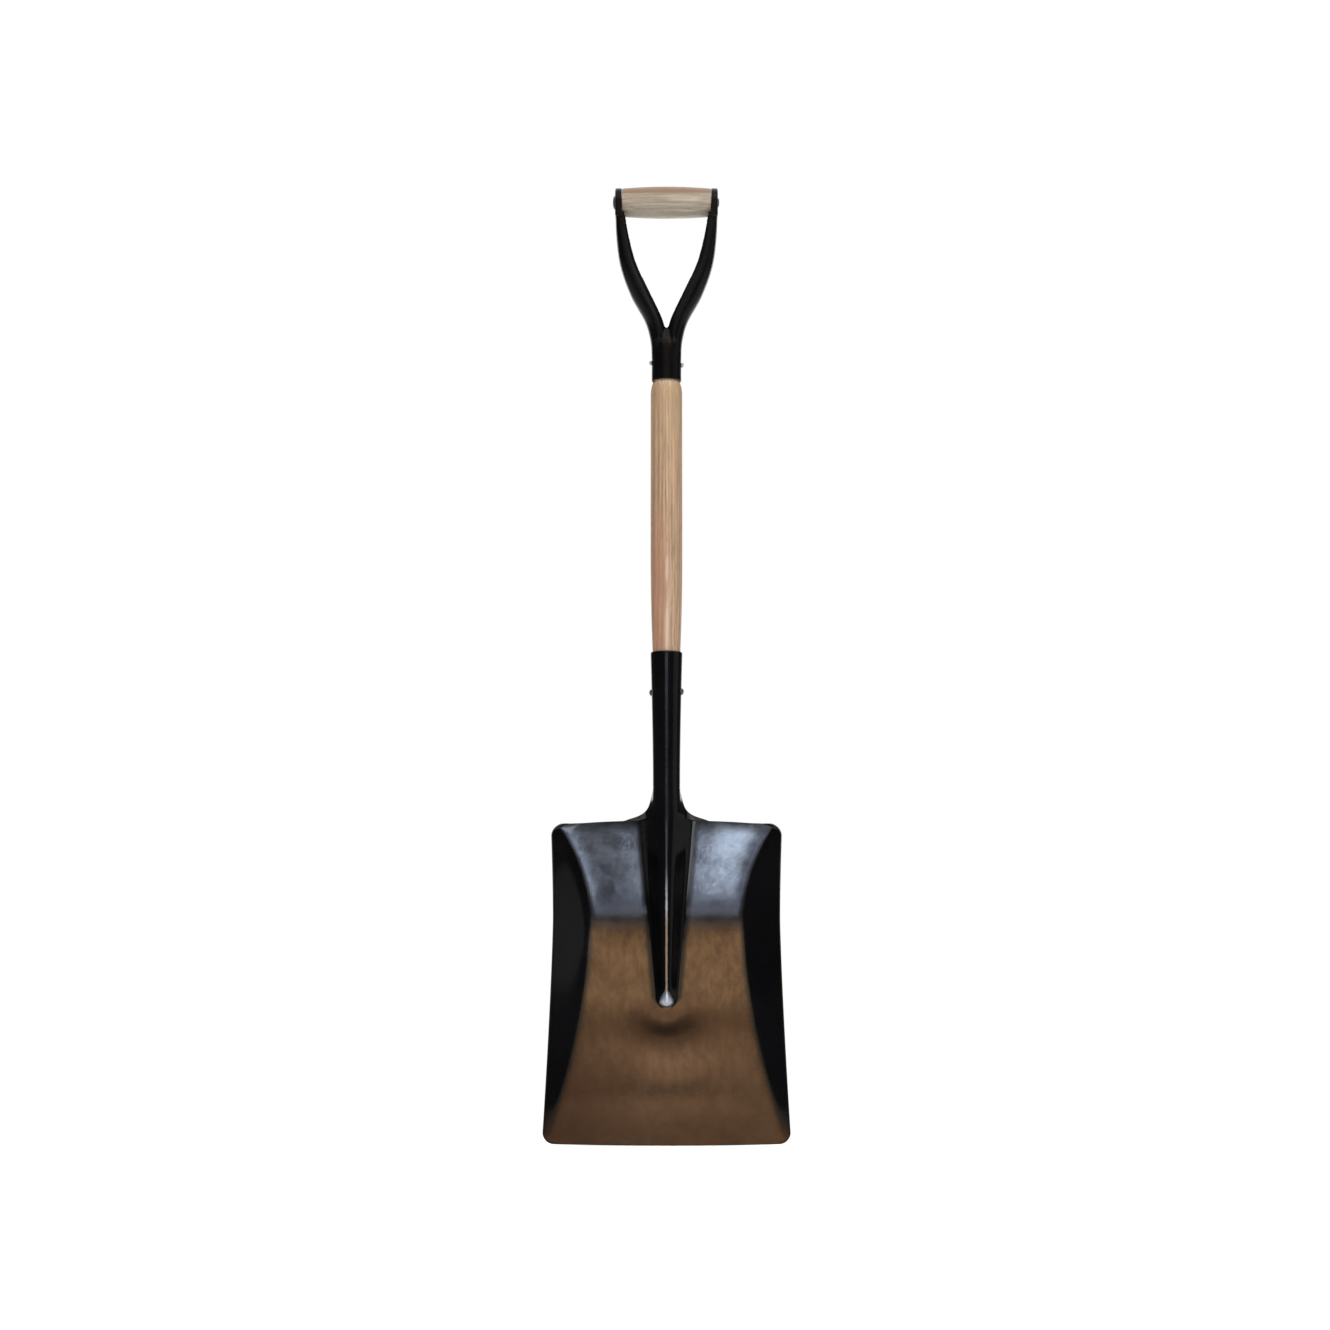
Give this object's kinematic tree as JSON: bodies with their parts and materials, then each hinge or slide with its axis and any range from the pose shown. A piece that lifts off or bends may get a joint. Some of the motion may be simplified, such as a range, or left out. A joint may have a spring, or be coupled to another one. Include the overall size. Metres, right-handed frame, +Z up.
{
  "type": "square-mouth shovel",
  "caption": "Square-mouth shovel: dished steel blade with a hollow rib and rolled socket, round ash shaft, pressed steel D-handle with a turned wooden grip on a through rivet.",
  "frame": {"origin": "middle of the footprint of the whole tool, level with the cutting edge", "axes": "+Z runs up the shaft from the cutting edge to the grip, -Y is the hollow front of the blade, +X is across the blade along the grip"},
  "size_m": [0.253, 0.0834, 1.03],
  "materials": {
    "lacquered_blade": "semi-gloss black lacquer with a bronze cast on the lower pan",
    "lacquered_handle": "semi-gloss black lacquer",
    "ash_shaft": "sanded ash with a thin clear coat",
    "ash_grip": "turned pale ash with a thin clear coat",
    "dark_rivet": "blackened steel",
    "grey_rivet": "dull grey steel"
  },
  "bodies": {
    "frame": {"shovel_head": "lacquered_blade", "shaft": "ash_shaft", "handle_yoke": "lacquered_handle", "grip_rivet": "dark_rivet", "yoke_rivet": "grey_rivet", "socket_rivet": "dark_rivet"},
    "turning_grip": {"grip": "ash_grip"}
  },
  "joints": [
    {"name": "grip_turn", "type": "hinge", "parent": "frame", "child": "turning_grip", "pos_m": [0, 0.02438, 1.01266], "axis": [1, 0, 0], "continuous": true}
  ]
}
